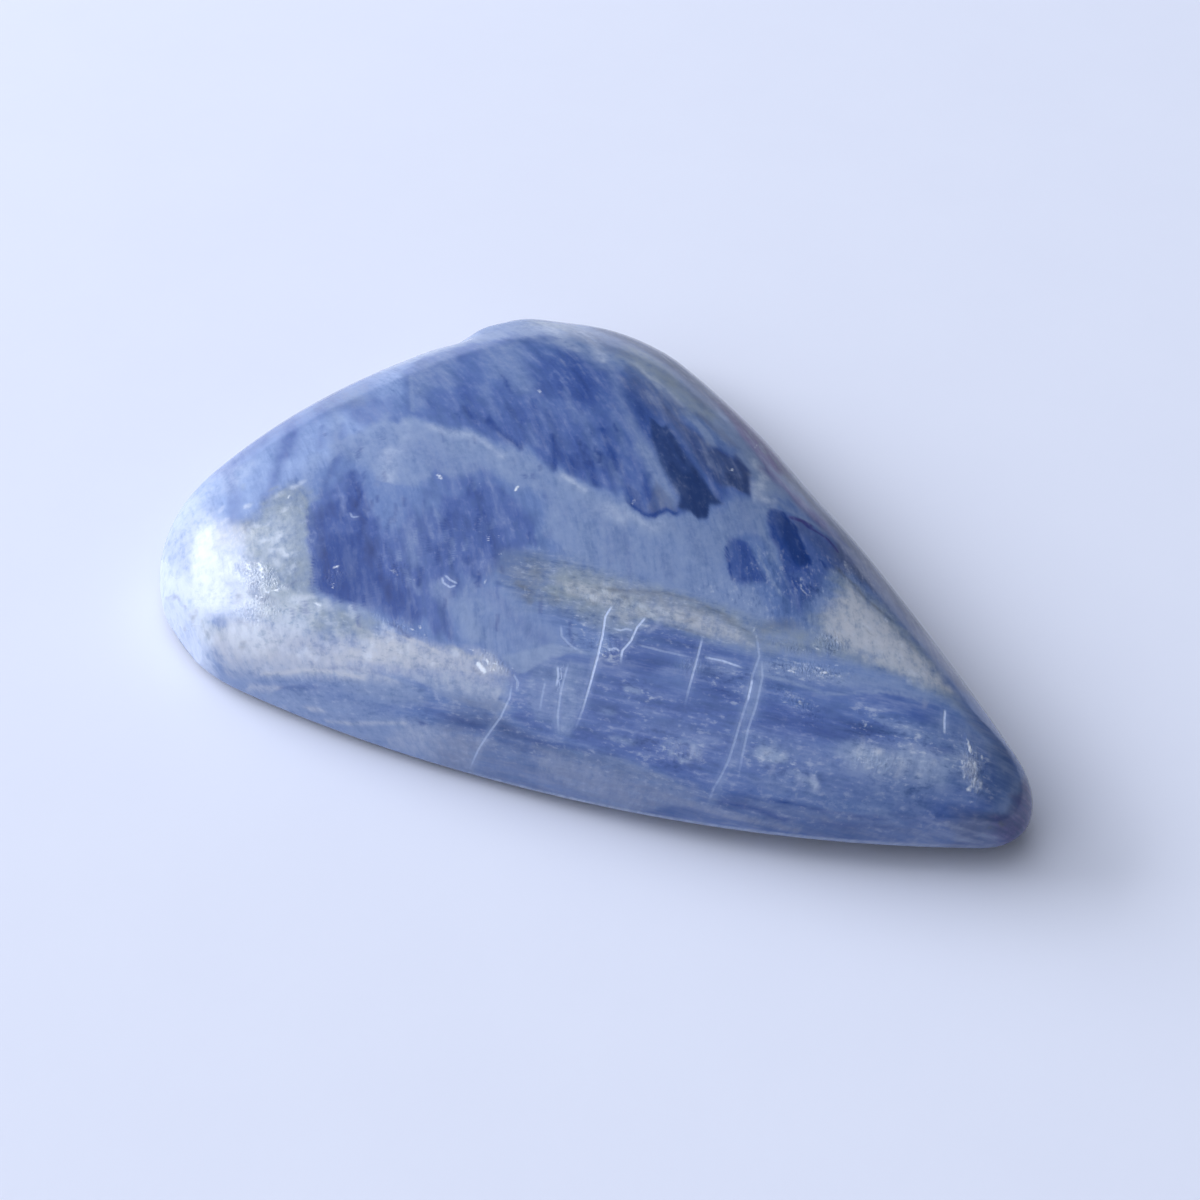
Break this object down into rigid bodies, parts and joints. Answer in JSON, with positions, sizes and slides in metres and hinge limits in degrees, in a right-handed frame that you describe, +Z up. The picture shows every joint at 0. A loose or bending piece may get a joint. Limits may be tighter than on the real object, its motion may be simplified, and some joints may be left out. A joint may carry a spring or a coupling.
{
  "type": "polished kyanite cabochon",
  "caption": "Free-form polished kyanite stone, a low dome with a flat back and a rounded-triangle outline, for display or setting in jewellery.",
  "frame": {"origin": "on the flat back, under the middle of the stone's box", "axes": "+X along the stone's length towards the narrow tip, +Z up out of the dome, flat back on z = 0"},
  "size_m": [0.042, 0.0296, 0.0066],
  "materials": {
    "kyanite": "polished, fibrous blue stone with milky and cream bands"
  },
  "bodies": {
    "root": {"kyanite_cabochon": "kyanite"}
  },
  "joints": []
}
